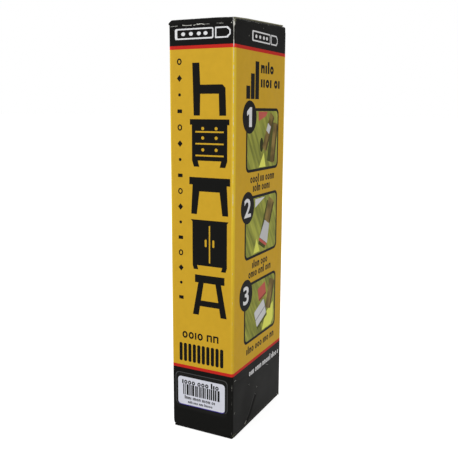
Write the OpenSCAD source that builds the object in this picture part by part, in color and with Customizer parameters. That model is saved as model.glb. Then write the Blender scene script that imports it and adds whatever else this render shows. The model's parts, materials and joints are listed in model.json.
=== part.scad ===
// Tuck-end folding carton holding ten wax filler sticks in two tiers of five.
// The origin is the centre of the base. +Z is up, the front panel faces -Y
// and the right side panel faces +X. The carton is sized round its sticks.

/* [Wax sticks] */
// Diameter of a wax stick
stick_d = 15.9; // [12:0.1:22]
// Length of a wax stick
stick_l = 88; // [60:1:140]
// Bevel round both ends of a stick
stick_bevel = 1.2; // [0.4:0.1:2.5]
// Depth of the dish that cooling leaves in the poured end
dish_depth = 0.7; // [0.2:0.1:1.2]
// Width of the flat rim round the dish
dish_rim = 2.2; // [1:0.1:3]
// Thickness of the paper wrapper
wrap_t = 0.15; // [0.1:0.05:0.3]
// Length of wax left bare below the wrapper
wrap_bare_foot = 6; // [3:0.5:15]
// Length of wax left bare above the wrapper
wrap_bare_head = 12; // [3:0.5:20]

/* [Packing] */
// Gap between neighbours in one row, which the other row nests into
row_gap = 2; // [0.5:0.1:4]
// Gap between a stick and its neighbours in the other row
nest_gap = 0.3; // [0.2:0.05:1]
// Gap between the sticks and the carton round them
wall_gap = 0.35; // [0.2:0.05:1]
// Gap between the upper sticks and the tip of the top tuck
head_gap = 1; // [0.5:0.1:10]

/* [Board] */
// Thickness of the folding board
board_t = 0.6; // [0.45:0.05:0.8]
// Outer radius of the four upright folds
fold_r = 1.2; // [1:0.1:2]
// How far the back panel stops short of the top
back_drop = 1.2; // [0.8:0.1:1.8]
// Width of the glue flap inside the left panel
glue_w = 12; // [8:0.5:18]
// Distance from the carton's ends to the glue flap
glue_end_gap = 8; // [4:0.5:20]
// Slope of the glue flap's two ends
glue_taper_deg = 20; // [5:1:45]
// Thickness of the glue under the flap
glue_t = 0.05; // [0.02:0.01:0.1]

/* [Closures] */
// Outer radius of the sprung fold between the front panel and the top lid
top_fold_r = 2.2; // [1.6:0.1:3]
// Outer radius of the pressed fold between the front panel and the bottom lid
base_fold_r = 1.2; // [1:0.1:3]
// Angle that the top lid stands open at rest, as its crease springs back
lid_spring_deg = 2.4; // [0:0.1:4]
// How much narrower a lid is than the carton, on each side
lid_side_gap = 1; // [1:0.1:2]
// The same at the crease, where the lid is widest
crease_side_gap = 0.6; // [0.3:0.1:0.9]
// Running gap between a lid's far edge and the back panel
lid_back_gap = 0.4; // [0.3:0.05:1]
// Outer radius of the fold between a lid and its tuck
tuck_fold_r = 1; // [0.9:0.1:2]
// Angle that a tuck is folded from flat at rest
tuck_fold_deg = 98; // [96:0.5:104]
// Length of a tuck, from the lid's outer face to its tip
tuck_len = 12; // [9:0.5:16]
// Gap on each side between a tuck and what lies beside it
tuck_side_gap = 0.8; // [0.4:0.1:2]
// Radius of a tuck's two free corners
tuck_corner_r = 4; // [1:0.5:6]

/* [Dust flaps] */
// Outer radius of the fold between a side panel and its dust flap
dust_fold_r = 1; // [0.9:0.1:2]
// Gap between a dust flap and the lid that lies on it
dust_lid_gap = 0.15; // [0.1:0.05:0.4]
// Gap between the free edges of the two dust flaps
dust_meet_gap = 2.5; // [1:0.1:6]
// Gap between a dust flap and the lid's fold in front of it
dust_front_gap = 0.8; // [0.5:0.1:3]
// Slope of a dust flap's front edge, which clears the rising lid
dust_taper_deg = 35; // [35:1:45]
// Distance from a dust flap's rear edge to the back panel
dust_back_gap = 4.4; // [3.5:0.1:10]
// Cut across a dust flap's free rear corner
dust_corner = 2.5; // [0.5:0.1:4]
// Gap between a dust flap's shoulder and the upright folds at its ends
dust_end_gap = 0.2; // [0.15:0.05:0.6]

/* [Label] */
// Height of the sticker on the front panel
label_h = 18.4; // [10:0.1:40]
// Thickness of the sticker
label_t = 0.1; // [0.08:0.01:0.2]
// Height of the sticker's lower edge above the base
label_z = 9.3; // [4:0.1:60]
// Bare board left of the sticker
label_left = 1.9; // [1.3:0.1:5]
// Bare board right of the sticker
label_right = 2.6; // [1.3:0.1:5]
// Radius of the sticker's corners
label_r = 2; // [0.5:0.1:4]

/* [Hidden] */
$fn = 96;
// Counts: five sticks in a tier, three of them in the row along the right panel
tier_count = 5;
long_row_count = 3;
stick_count = 10;
// How far along a step the short row's sticks stand, between their neighbours
nest_share = 0.5;

// Sizes that follow from the ones above
overrun = 1;
wrapped_d = stick_d + 2 * wrap_t;
row_pitch = wrapped_d + row_gap;
nest_pitch = sqrt(pow(wrapped_d + nest_gap, 2) - pow(row_pitch / 2, 2));
row_length = wrapped_d + (long_row_count - 1) * row_pitch;
tuck_lean = (tuck_len - tuck_fold_r) * tan(tuck_fold_deg - 90);
tuck_depth = lid_back_gap + tuck_lean + board_t;
inner_w = 2 * wall_gap + wrapped_d + nest_pitch + glue_t + board_t;
inner_d = 2 * wall_gap + row_length + tuck_depth;
stick_base_z = 2 * (board_t + dust_lid_gap);
carton_w = inner_w + 2 * board_t;
carton_d = inner_d + 2 * board_t;
carton_h = stick_base_z + 2 * stick_l + head_gap + tuck_len;
front_y = -carton_d / 2;
back_y = carton_d / 2;

// Distance in from a shut end to the top edge of a side panel
dust_crease_drop = board_t + dust_lid_gap + dust_fold_r;
// Distance from the front face to a shut lid's far edge
lid_reach = carton_d - board_t - lid_back_gap;
tuck_w = carton_w - 4 * board_t - 2 * tuck_side_gap;
dust_len = (carton_w - dust_meet_gap) / 2;
dust_tab_w = dust_fold_r - dust_end_gap;
label_w = carton_w - label_left - label_right;
glue_l = carton_h - 2 * glue_end_gap;

// Middles of the front and rear sticks of the long row, and of the two rows across the carton
first_stick_y = front_y + board_t + wall_gap + wrapped_d / 2;
long_row_x = carton_w / 2 - board_t - wall_gap - wrapped_d / 2;
short_row_x = long_row_x - nest_pitch;

// Radius of the ball whose cap is the dish in a stick's end
dish_w = stick_d / 2 - dish_rim;
dish_ball_r = (pow(dish_w, 2) + pow(dish_depth, 2)) / (2 * dish_depth);

function two_digits(i) = str(i < 9 ? "0" : "", i + 1);
function stick_name(i) = str("wax_stick_", two_digits(i));
function wrapper_name(i) = str("stick_wrapper_", two_digits(i));

// Where stick i stands: five to a tier, the long row first
function tier_of(i) = floor(i / tier_count);
function slot_of(i) = i % tier_count;
function in_long_row(i) = slot_of(i) < long_row_count;
function rank_of(i) = in_long_row(i) ? slot_of(i) : slot_of(i) - long_row_count + nest_share;
function stick_place(i) = [
    in_long_row(i) ? long_row_x : short_row_x,
    first_stick_y + rank_of(i) * row_pitch,
    stick_base_z + tier_of(i) * stick_l
];

// A rectangle centred on the origin with four round corners
module round_rect(w, d, r) {
    square([w - 2 * r, d], center = true);
    square([w, d - 2 * r], center = true);
    for (x = [-1, 1], y = [-1, 1])
        translate([x * (w / 2 - r), y * (d / 2 - r)])
            circle(r);
}

// The cross-section of a bent board: a ring of outer radius r, from angle a0 up to a1
module bend(r, a0, a1) {
    far = 3 * r;
    intersection() {
        difference() {
            circle(r);
            circle(r - board_t);
        }
        polygon([
            [0, 0],
            far * [cos(a0), sin(a0)],
            far * [cos((a0 + a1) / 2), sin((a0 + a1) / 2)],
            far * [cos(a1), sin(a1)]
        ]);
    }
}

// A cross-section drawn in Y and Z, stretched along X
module along_x(width) {
    rotate([90, 0, 90])
        translate([0, 0, -width / 2])
            linear_extrude(width)
                children();
}

// A cross-section drawn in X and Z, stretched along Y over the carton's depth
module along_depth() {
    translate([0, back_y + overrun, 0])
        rotate([90, 0, 0])
            linear_extrude(carton_d + 2 * overrun)
                children();
}

// The four walls. Each edge is cut where its own closure's crease lies
module sleeve() {
    side_l = carton_d - 2 * fold_r;
    color("goldenrod")
    difference() {
        linear_extrude(carton_h - back_drop)
            round_rect(carton_w, carton_d, fold_r);
        translate([0, 0, -overrun])
            linear_extrude(carton_h + 2 * overrun)
                round_rect(inner_w, inner_d, fold_r - board_t);
        // the front panel and its two round folds, at the top and at the base
        translate([-carton_w / 2 - overrun, front_y - overrun, carton_h - top_fold_r])
            cube([carton_w + 2 * overrun, fold_r + overrun, top_fold_r]);
        translate([-carton_w / 2 - overrun, front_y - overrun, -overrun])
            cube([carton_w + 2 * overrun, fold_r + overrun, base_fold_r + overrun]);
        // the two side panels, at the top and at the base
        translate([-carton_w / 2 - overrun, front_y + fold_r, carton_h - dust_crease_drop])
            cube([carton_w + 2 * overrun, side_l, dust_crease_drop]);
        translate([-carton_w / 2 - overrun, front_y + fold_r, -overrun])
            cube([carton_w + 2 * overrun, side_l, dust_crease_drop + overrun]);
    }
}

// The seam flap, glued flat inside the left panel from the back fold forwards
module glue_flap() {
    slope = glue_w * tan(glue_taper_deg);
    color("whitesmoke")
    translate([glue_t - inner_w / 2, back_y - fold_r - glue_w, glue_end_gap])
        rotate([90, 0, 90])
            linear_extrude(board_t)
                polygon([[0, slope], [glue_w, 0], [glue_w, glue_l], [0, glue_l - slope]]);
}

module barcode_label() {
    color("lightsteelblue")
    translate([(label_left - label_right) / 2, front_y, label_z + label_h / 2])
        rotate([90, 0, 0])
            linear_extrude(label_t)
                round_rect(label_w, label_h, label_r);
}

// The closures are drawn for an end whose shut lid has its outer face at z = 0, with the
// carton below it. crease_r is the radius of the lid's fold, tilt the angle it stands open.

// Moves a piece that is drawn shut to where the lid, turned about its crease, takes it
module with_lid(crease_r, tilt) {
    translate([0, front_y, -crease_r])
        rotate([tilt, 0, 0])
            translate([0, 0, crease_r])
                children();
}

module lid(crease_r, tilt) {
    flat_l = lid_reach - tuck_fold_r - crease_r;
    half_w = carton_w / 2;
    with_lid(crease_r, tilt)
    intersection() {
        along_x(carton_w) {
            translate([crease_r, -crease_r])
                bend(crease_r, 90, 180);
            translate([crease_r, -board_t])
                square([flat_l, board_t]);
        }
        // the sides taper in over the fold
        translate([0, -front_y, 0])
        along_depth()
            polygon([
                [crease_side_gap - half_w, -crease_r],
                [half_w - crease_side_gap, -crease_r],
                [half_w - lid_side_gap, -board_t / 2],
                [half_w - lid_side_gap, overrun],
                [lid_side_gap - half_w, overrun],
                [lid_side_gap - half_w, -board_t / 2]
            ]);
    }
}

module tuck_flap(crease_r, tilt) {
    straight_l = tuck_len - tuck_fold_r;
    with_lid(crease_r, tilt)
    translate([0, lid_reach - tuck_fold_r, -tuck_fold_r]) {
        along_x(tuck_w)
            bend(tuck_fold_r, 90 - tuck_fold_deg, 90);
        rotate([-tuck_fold_deg, 0, 0])
            translate([0, 0, tuck_fold_r - board_t])
                linear_extrude(board_t)
                    intersection() {
                        translate([0, straight_l / 2])
                            square([tuck_w, straight_l], center = true);
                        translate([0, straight_l / 2 - tuck_corner_r])
                            round_rect(tuck_w, straight_l + 2 * tuck_corner_r, tuck_corner_r);
                    }
    }
}

// The right dust flap: a shoulder that rises with the sprung lid, and a roof under the lid
module dust_flap(crease_r, tilt) {
    roof_z = -board_t - dust_lid_gap;
    half_w = carton_w / 2;
    front = front_y + crease_r + dust_front_gap;
    rear = back_y - board_t - dust_back_gap;
    tab_front = front_y + fold_r + dust_end_gap;
    tab_rear = back_y - fold_r - dust_end_gap;
    taper = (dust_len - dust_tab_w) * tan(dust_taper_deg);
    rise = carton_d * tan(tilt) + overrun;
    intersection() {
        with_lid(crease_r, tilt)
        translate([0, -front_y, 0])
        along_depth() {
            translate([half_w - board_t, roof_z - dust_fold_r - rise])
                square([board_t, rise]);
            translate([half_w - dust_fold_r, roof_z - dust_fold_r])
                bend(dust_fold_r, 0, 90);
            translate([half_w - dust_len, roof_z - board_t])
                square([dust_len - dust_fold_r, board_t]);
        }
        // cut off at the side panel's crease, and to the flap's outline from above
        translate([0, 0, -dust_crease_drop])
            linear_extrude(dust_crease_drop + rise)
                polygon([
                    [half_w + overrun, tab_front],
                    [half_w - dust_tab_w, tab_front],
                    [half_w - dust_tab_w, front],
                    [half_w - dust_len, front + taper],
                    [half_w - dust_len, rear - dust_corner],
                    [half_w - dust_len + dust_corner, rear],
                    [half_w - dust_tab_w, rear],
                    [half_w - dust_tab_w, tab_rear],
                    [half_w + overrun, tab_rear]
                ]);
    }
}

module at_top() {
    translate([0, 0, carton_h])
        children();
}

module at_base() {
    mirror([0, 0, 1])
        children();
}

module top_lid() {
    color("dimgray")
    at_top()
        lid(top_fold_r, lid_spring_deg);
}

module top_tuck_flap() {
    color("slategray")
    at_top()
        tuck_flap(top_fold_r, lid_spring_deg);
}

module top_dust_flap_right() {
    color("gray")
    at_top()
        dust_flap(top_fold_r, lid_spring_deg);
}

module top_dust_flap_left() {
    color("darkgray")
    at_top()
        mirror([1, 0, 0])
            dust_flap(top_fold_r, lid_spring_deg);
}

module bottom_lid() {
    color("dimgray")
    at_base()
        lid(base_fold_r, 0);
}

module bottom_tuck_flap() {
    color("slategray")
    at_base()
        tuck_flap(base_fold_r, 0);
}

module bottom_dust_flap_right() {
    color("gray")
    at_base()
        dust_flap(base_fold_r, 0);
}

module bottom_dust_flap_left() {
    color("darkgray")
    at_base()
        mirror([1, 0, 0])
            dust_flap(base_fold_r, 0);
}

// A poured stick, bevelled at both ends, with a shallow dish where it cooled
module wax_stick(i) {
    end_d = stick_d - 2 * stick_bevel;
    color("burlywood")
    translate(stick_place(i))
    difference() {
        union() {
            cylinder(h = stick_bevel, d1 = end_d, d2 = stick_d);
            translate([0, 0, stick_bevel])
                cylinder(h = stick_l - 2 * stick_bevel, d = stick_d);
            translate([0, 0, stick_l - stick_bevel])
                cylinder(h = stick_bevel, d1 = stick_d, d2 = end_d);
        }
        translate([0, 0, stick_l - dish_depth + dish_ball_r])
            sphere(dish_ball_r);
    }
}

module stick_wrapper(i) {
    wrap_l = stick_l - wrap_bare_foot - wrap_bare_head;
    color("ivory")
    translate(stick_place(i) + [0, 0, wrap_bare_foot])
    difference() {
        cylinder(h = wrap_l, d = wrapped_d);
        translate([0, 0, -overrun])
            cylinder(h = wrap_l + 2 * overrun, d = stick_d);
    }
}

sleeve();
glue_flap();
barcode_label();
top_lid();
top_tuck_flap();
top_dust_flap_right();
top_dust_flap_left();
bottom_lid();
bottom_tuck_flap();
bottom_dust_flap_right();
bottom_dust_flap_left();
for (i = [0:stick_count - 1]) wax_stick(i);
for (i = [0:stick_count - 1]) stick_wrapper(i);
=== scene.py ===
import json
import math
import random
import bmesh
import bpy
from mathutils import Matrix, Vector


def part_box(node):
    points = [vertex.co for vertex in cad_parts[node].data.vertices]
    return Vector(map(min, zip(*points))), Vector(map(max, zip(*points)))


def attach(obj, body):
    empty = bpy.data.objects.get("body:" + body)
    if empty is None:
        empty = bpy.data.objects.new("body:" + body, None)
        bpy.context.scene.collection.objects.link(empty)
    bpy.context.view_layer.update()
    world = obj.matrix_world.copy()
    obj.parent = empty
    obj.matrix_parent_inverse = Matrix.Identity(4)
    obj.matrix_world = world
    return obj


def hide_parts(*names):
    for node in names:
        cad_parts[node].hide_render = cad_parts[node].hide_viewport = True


bl_info = {
    "name": "Tuck-end carton of wax sticks",
    "version": (1, 0, 0),
    "blender": (4, 5, 0),
    "location": "3D View > Sidebar > Carton",
    "description": "Dresses a folding carton of ten wax filler sticks with board, print and wear",
    "category": "Object",
}

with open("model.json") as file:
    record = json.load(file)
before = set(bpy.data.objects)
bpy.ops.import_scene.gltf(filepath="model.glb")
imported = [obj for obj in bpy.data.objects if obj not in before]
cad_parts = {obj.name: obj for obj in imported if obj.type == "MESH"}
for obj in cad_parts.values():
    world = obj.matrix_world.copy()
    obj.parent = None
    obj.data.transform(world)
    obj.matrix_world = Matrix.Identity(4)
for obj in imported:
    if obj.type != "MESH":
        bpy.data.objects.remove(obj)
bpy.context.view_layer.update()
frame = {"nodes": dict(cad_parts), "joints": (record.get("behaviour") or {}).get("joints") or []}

MM = 0.001


def box_of(name):
    """The two corners of a CAD node's box, in millimetres."""
    return [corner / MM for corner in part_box(name)]


# What the frame says of the carton, in millimetres
SLEEVE_LOW, SLEEVE_HIGH = box_of("sleeve")
HINGE = {joint["name"]: Vector(joint["pos_m"]) / MM for joint in frame["joints"]}
HALF_W = SLEEVE_HIGH.x
FRONT_Y, BACK_Y = SLEEVE_LOW.y, SLEEVE_HIGH.y
BOARD_T = (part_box("glue_flap")[1].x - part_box("glue_flap")[0].x) / MM
STICKS, WRAPPERS = (
    [name for name in sorted(frame["nodes"]) if name.startswith(kind)]
    for kind in ("wax_stick", "stick_wrapper")
)


def linear(hex_code):
    """A colour written as an sRGB hex value, turned to linear light."""
    parts = [int(hex_code[i:i + 2], 16) / 255 for i in (0, 2, 4)]
    light = [p / 12.92 if p <= 0.04045 else ((p + 0.055) / 1.055) ** 2.4 for p in parts]
    return (*light, 1)


def length(default, about):
    return bpy.props.FloatProperty(description=about, default=default, min=0, max=250)


def colour(hex_code, about):
    return bpy.props.FloatVectorProperty(
        description=about, subtype="COLOR", size=4, min=0, max=1, default=linear(hex_code)
    )


class CartonSizes(bpy.types.PropertyGroup):
    """Sizes of the finished carton, in millimetres and degrees"""
    face_depth: length(0.05, "How far the bare board lies under the carton's outer size")
    ink_t: length(0.011, "Thickness of one printed film")
    fold_r: length(1.2, "Outer radius of the four upright folds")
    top_fold_r: length(2.2, "Outer radius of the sprung fold under the top lid")
    base_fold_r: length(1.2, "Outer radius of the pressed fold under the bottom lid")
    lid_spring: length(2.4, "Angle that the top lid stands open")
    lid_side_gap: length(1, "How much narrower the top lid is than the carton on each side")
    crease_side_gap: length(0.15, "The same at that lid's crease")
    base_side_gap: length(0.4, "The same for the lid at the foot")
    base_crease_gap: length(0.75, "The same at that lid's crease")
    crushed_corner: length(0.5, "How far the base lid's front corners are crushed in")
    corner_sag: length(0.35, "How far the top lid's fold is crushed at the near corner")
    tuck_fold_r: length(1, "Outer radius of the fold between a lid and its tuck")
    tuck_fold: length(98, "Angle that a tuck is folded from flat")
    tuck_len: length(12, "From the lid's outer face to the tuck's tip")
    tuck_corner_r: length(4, "Radius of a tuck's two free corners")
    dust_fold_r: length(1, "Outer radius of the fold of a dust flap")
    dust_lid_gap: length(0.15, "Gap between a dust flap and its lid")
    dust_front_gap: length(0.8, "Gap between a dust flap's roof and the lid's fold")
    dust_back_gap: length(4.4, "Gap between a dust flap's roof and the back panel")
    dust_end_gap: length(0.2, "Gap between a dust flap's shoulder and the upright folds")
    dust_taper: length(35, "Slope of a dust flap's front edge")
    dust_corner: length(2.5, "Cut across a dust flap's free corner")
    stripe_low: length(31.8, "Height of the middle of the lower red stripe")
    stripe_high: length(178.5, "Height of the middle of the upper red stripe")
    stripe_w: length(1.5, "Height of a red stripe")
    grid: length(2, "Spacing of the board's mesh")
    dent: length(1.1, "How far the crushed corners go in, and the creases about a third of it")
    print_lift: length(1.2, "How far up the board the print sits from its drawing")
    label_lift: length(1, "How far up the panel the sticker sits from its CAD node")
    label_r: length(2, "Radius of the sticker's corners")
    label_rim: length(0.3, "Width of the sticker's paler rim")
    dish_rim: length(2.2, "Width of the rim round the dish in a stick's end")
    dish_depth: length(0.7, "Depth of that dish")
    bevel: length(1.2, "Bevel round a stick's ends")


class CartonColours(bpy.types.PropertyGroup):
    """Ink, board, label and wax colours"""
    yellow: colour("CAA12D", "The panels between the stripes")
    # The next colour is a painted highlight: the brighter yellow where the rounded upright folds catch the
    # light
    stretched: colour("DEBE38", "The yellow where a fold has thinned it")
    black: colour("161615", "The bands, the closures and the pictograms")
    red: colour("BF2A23", "The two stripes")
    white: colour("D9DADC", "The signs and numbers printed in white")
    # The next colour is that of bared fibres, and also of the pale painted highlight along the lids' fold
    # crests
    bared: colour("D0D0C8", "Fibres that show where the ink has rubbed off")
    liner: colour("BDB8A8", "Grey-white inner face of the board")
    edge: colour("85846A", "Raw die-cut edge of the board")
    label: colour("CED0DA", "Pale panel of the sticker")
    rim: colour("4A4B4C", "Cut rim of the sticker's clear film")
    label_line: colour("3B2F86", "Violet line along the sticker's lower edge")
    wax: colour("A86F3C", "Filler wax")
    wrapper: colour("D9D2BE", "Paper band round a stick")
    meadow: colour("858B3F", "Olive ground of the three pictures")
    straw: colour("B9BC55", "Light streaks on that ground")
    tan: colour("7E6A3A", "Wax and handles in the three pictures")
    rose: colour("B95C50", "Faded red in the three pictures")


def sizes():
    return bpy.context.scene.carton_sizes


def ink_of(name):
    return list(getattr(bpy.context.scene.carton_colours, name))


def shades(name, *shares):
    """Shades of a colour, its light cut to each share, or raised where the share is over 1."""
    return [[min(1, c * share) for c in ink_of(name)[:3]] + [1] for share in shares]


# Making meshes

def take(obj):
    """Selects one object alone and makes it active."""
    bpy.ops.object.select_all(action="DESELECT")
    obj.select_set(True)
    bpy.context.view_layer.objects.active = obj


def start(add, scale=(1, 1, 1), **settings):
    """Adds a primitive with nothing else selected, and fixes its place and size in its mesh."""
    bpy.ops.object.select_all(action="DESELECT")
    add(**settings)
    bpy.context.object.scale = scale
    bpy.ops.object.transform_apply(location=True, rotation=True, scale=True)
    return bpy.context.object


def place(obj, matrix):
    """Moves an object and fixes its new place in its mesh."""
    take(obj)
    obj.matrix_world = matrix @ obj.matrix_world
    bpy.ops.object.transform_apply(location=True, rotation=True, scale=True)


def lift(obj, height):
    place(obj, Matrix.Translation((0, 0, height * MM)))


def turn_about(obj, y, z, angle):
    """Turns an object about a line that runs across the carton."""
    line = Matrix.Translation(Vector((0, y, z)) * MM)
    place(obj, line @ Matrix.Rotation(angle, 4, "X") @ line.inverted())


def every(middle, way):
    return True


def edit(obj, kind, test, operate, **settings):
    """Runs an edit on only the verts, edges or faces whose middle and direction pass the test."""
    take(obj)
    bpy.ops.object.mode_set(mode="EDIT")
    bpy.ops.mesh.select_mode(type=kind[:-1].upper())
    bpy.ops.mesh.select_all(action="DESELECT")
    mesh = bmesh.from_edit_mesh(obj.data)
    for item in getattr(mesh, kind):
        if kind == "verts":
            passed = test(item.co / MM, item.normal)
        elif kind == "edges":
            a, b = (v.co for v in item.verts)
            passed = test((a + b) / 2 / MM, (b - a) / MM)
        else:
            passed = test(item.calc_center_median() / MM, item.normal)
        if passed:
            item.select_set(True)
    bmesh.update_edit_mesh(obj.data)
    operate(**settings)
    bpy.ops.object.mode_set(mode="OBJECT")


def cut(obj, point, normal):
    """Cuts the mesh along a plane and keeps both sides."""
    edit(obj, "faces", every, bpy.ops.mesh.bisect, plane_co=Vector(point) * MM, plane_no=normal)


def remove(obj, test):
    """Deletes the faces whose middle and normal pass the test."""
    edit(obj, "faces", test, bpy.ops.mesh.delete, type="FACE")


def weld(obj):
    """Merges the doubled points of a mesh and turns its faces outwards."""
    def merge():
        bpy.ops.mesh.remove_doubles(threshold=0.001 * MM)
        bpy.ops.mesh.normals_make_consistent(inside=False)
    edit(obj, "verts", every, merge)


def mirror(obj, axis):
    """Mirrors an object across the carton's middle, or from the top to the foot."""
    place(obj, Matrix.Scale(-1, 4, axis))
    weld(obj)


def join(pieces):
    take(pieces[0])
    for piece in pieces:
        piece.select_set(True)
    bpy.ops.object.join()
    return bpy.context.object


def modify(obj, kind, **settings):
    """Adds a modifier and applies it."""
    take(obj)
    modifier = obj.modifiers.new(kind.title(), kind)
    for key, value in settings.items():
        setattr(modifier, key, value)
    bpy.ops.object.modifier_apply(modifier=modifier.name)


def shade(obj):
    take(obj)
    bpy.ops.object.shade_smooth_by_angle(angle=math.radians(30))


def mark(obj, name, value_at):
    """Gives each point of a mesh a value that its materials read."""
    values = obj.data.attributes.new(name, "FLOAT", "POINT")
    values.data.foreach_set("value", [float(value_at(vertex.co / MM)) for vertex in obj.data.vertices])


def order_materials(obj, materials):
    obj.data.materials.clear()
    for made in materials:
        obj.data.materials.append(made)


def thicken(obj, **offsets):
    """Gives a folded sheet the board's thickness inwards."""
    thickness = (BOARD_T - sizes().face_depth) * MM
    modify(obj, "SOLIDIFY", thickness=thickness, offset=-1, use_even_offset=True, **offsets)


def finish_piece(obj, name, body, slot, *nodes):
    """Names a finished piece, and says what it rides on and the nodes it stands for. The slot is not used.
    """
    obj.name = name
    obj.data.name = name
    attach(obj, body)
    if nodes:
        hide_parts(*nodes)


# Making materials

def node(tree, kind, inputs, **settings):
    """Adds a node. Each input is given a value, or another node's output to link to."""
    made = tree.nodes.new(kind)
    for key, value in settings.items():
        setattr(made, key, value)
    for key, value in inputs.items():
        if isinstance(value, bpy.types.NodeSocket):
            tree.links.new(value, made.inputs[key])
        else:
            made.inputs[key].default_value = value
    return made


def material(name, roughness, **inputs):
    """A material with one Principled shader, its tree and its Object coordinates. No tree if it exists."""
    made = bpy.data.materials.get(name)
    if made:
        return made, None, None, None
    made = bpy.data.materials.new(name)
    made.use_nodes = True
    tree = made.node_tree
    shader = tree.nodes["Principled BSDF"]
    for key, value in {"Roughness": roughness, **inputs}.items():
        shader.inputs[key].default_value = value
    return made, tree, shader, tree.nodes.new("ShaderNodeTexCoord").outputs["Object"]


def noise(tree, where, spacing, detail=2, stretch=(1, 1, 1)):
    """Noise whose features are about spacing millimetres wide, and longer along an axis that is drawn out.
    """
    scale = [1 / (MM * spacing * s) for s in stretch]
    at = node(tree, "ShaderNodeMapping", {"Vector": where, "Scale": scale}).outputs[0]
    return node(tree, "ShaderNodeTexNoise", {"Vector": at, "Scale": 1, "Detail": detail}).outputs["Fac"]


def ramp(tree, value, low, high, start_at=0, end_at=1):
    """Turns the stretch from low to high into start_at to end_at, and clamps beyond it."""
    return node(tree, "ShaderNodeMapRange", {
        "Value": value, "From Min": low, "From Max": high, "To Min": start_at, "To Max": end_at,
    }).outputs[0]


def mix(tree, factor, a, b):
    """Mixes two colours, by their sockets' identifiers, because the plain names repeat."""
    made = node(tree, "ShaderNodeMix", {}, data_type="RGBA")
    for socket, value in (("Factor_Float", factor), ("A_Color", a), ("B_Color", b)):
        target = next(s for s in made.inputs if s.identifier == socket)
        if isinstance(value, bpy.types.NodeSocket):
            tree.links.new(value, target)
        else:
            target.default_value = value
    return next(s for s in made.outputs if s.identifier == "Result_Color")


def maths(tree, operation, a, b=0):
    return node(tree, "ShaderNodeMath", {0: a, 1: b}, operation=operation).outputs[0]


def sum_of(tree, one, other):
    """The sum of two outputs, each with the share of it that counts."""
    return maths(tree, "ADD", maths(tree, "MULTIPLY", *one), maths(tree, "MULTIPLY", *other))


def bump(tree, shader, height, depth):
    made = node(tree, "ShaderNodeBump", {"Height": height, "Distance": depth * MM, "Strength": 1})
    tree.links.new(made.outputs[0], shader.inputs["Normal"])


def clouded(name, roughness, ends, grain, drift, depth=0, relief=None, **inputs):
    """A material that drifts between two end colours. The grain is the spacing, detail and stretch of its
    noise, and the drift the part of it that counts. The relief is another noise for the bumps."""
    made, tree, shader, where = material(name, roughness, **inputs)
    if tree:
        cloud = noise(tree, where, *grain)
        tree.links.new(mix(tree, ramp(tree, cloud, *drift), *ends), shader.inputs["Base Color"])
        if depth:
            bump(tree, shader, noise(tree, where, *relief) if relief else cloud, depth)
    return made


# The low sheen of offset ink under varnish, the noise of the board's slow waviness under it, and how
# much of that noise counts in a relief of this depth
INK_ROUGHNESS = 0.42
INK_SHEEN = {"Specular IOR Level": 0.02}
WAVE, WAVE_SHARE, INK_RELIEF = (22, 1), 2.2, 0.12


def printed_board(ink_name):
    """Offset ink under a thin varnish on coated folding boxboard: an even colour with a low sheen, a painted
    highlight round the upright folds where they catch the light, and bare fibres where it has rubbed, which
    along the lids' fold crests stand for a painted highlight as well."""
    made, tree, shader, where = material(f"{ink_name}_ink_on_boxboard", INK_ROUGHNESS, **INK_SHEEN)
    if tree is None:
        return made
    stretched, rub_and_highlight = (
        node(tree, "ShaderNodeAttribute", {}, attribute_name=value).outputs["Fac"]
        for value in ("stretch", "wear")
    )
    # painted highlight on the upright folds: the brighter yellow, or each other ink made half as light again
    at_fold = ink_of("stretched") if ink_name == "yellow" else shades(ink_name, 1.5)[0]
    mottled = mix(tree, ramp(tree, noise(tree, where, 3, 3), 0.3, 0.7), *shades(ink_name, 0.95, 1))
    flat = mix(tree, stretched, mottled, at_fold)
    grain, patches = noise(tree, where, 0.7, 3, (1, 1, 2.2)), noise(tree, where, 7)
    hits = sum_of(tree, (grain, 0.75), (patches, 0.45))
    # pale where the ink has rubbed, and along the lids' fold crests a painted highlight
    worn_and_highlighted = ramp(tree, maths(tree, "ADD", hits, rub_and_highlight), 1.14, 1.28)
    tree.links.new(mix(tree, worn_and_highlighted, flat, ink_of("bared")), shader.inputs["Base Color"])
    tree.links.new(ramp(tree, noise(tree, where, 12), 0.3, 0.7, 0.36, 0.46), shader.inputs["Roughness"])
    relief = sum_of(tree, (noise(tree, where, 0.5), 0.03), (noise(tree, where, *WAVE), WAVE_SHARE))
    bump(tree, shader, relief, INK_RELIEF)
    return made


def liner_board():
    """Unbleached grey-white back of folding boxboard: matt, with short darker and lighter fibres."""
    ends = shades("liner", 0.8, 1)
    return clouded("boxboard_liner", 0.85, ends, (0.8, 4, (1, 1, 3)), (0.35, 0.6), 0.05)


def cut_edge():
    """Die-cut edge of folding boxboard: rough, pale and a little green from the ink above it."""
    return clouded("boxboard_cut_edge", 0.9, shades("edge", 0.55, 1), (0.5, 3), (0.35, 0.65), 0.08)


def board(ink_name):
    """The outside, liner and cut edge of a piece of board printed in one ink."""
    return [printed_board(ink_name), liner_board(), cut_edge()]


def film(ink_name, light=1):
    """One flat film of printing ink, as even as the board below it lets it be."""
    name = f"{ink_name}_printing_ink" + ("" if light == 1 else f"_{round(light * 100)}")
    ends = shades(ink_name, light, light * 1.06)
    depth = INK_RELIEF * WAVE_SHARE
    return clouded(name, INK_ROUGHNESS, ends, (3, 3), (0.3, 0.7), depth, WAVE, **INK_SHEEN)


def halftone(ink_name):
    """Halftone print of a rounded thing in a picture: its light and dark drift softly across it."""
    name, ends = f"halftone_print_in_{ink_name}", shades(ink_name, 0.6, 1.35)
    return clouded(name, INK_ROUGHNESS, ends, (6, 1), (0.35, 0.65), **INK_SHEEN)


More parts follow.
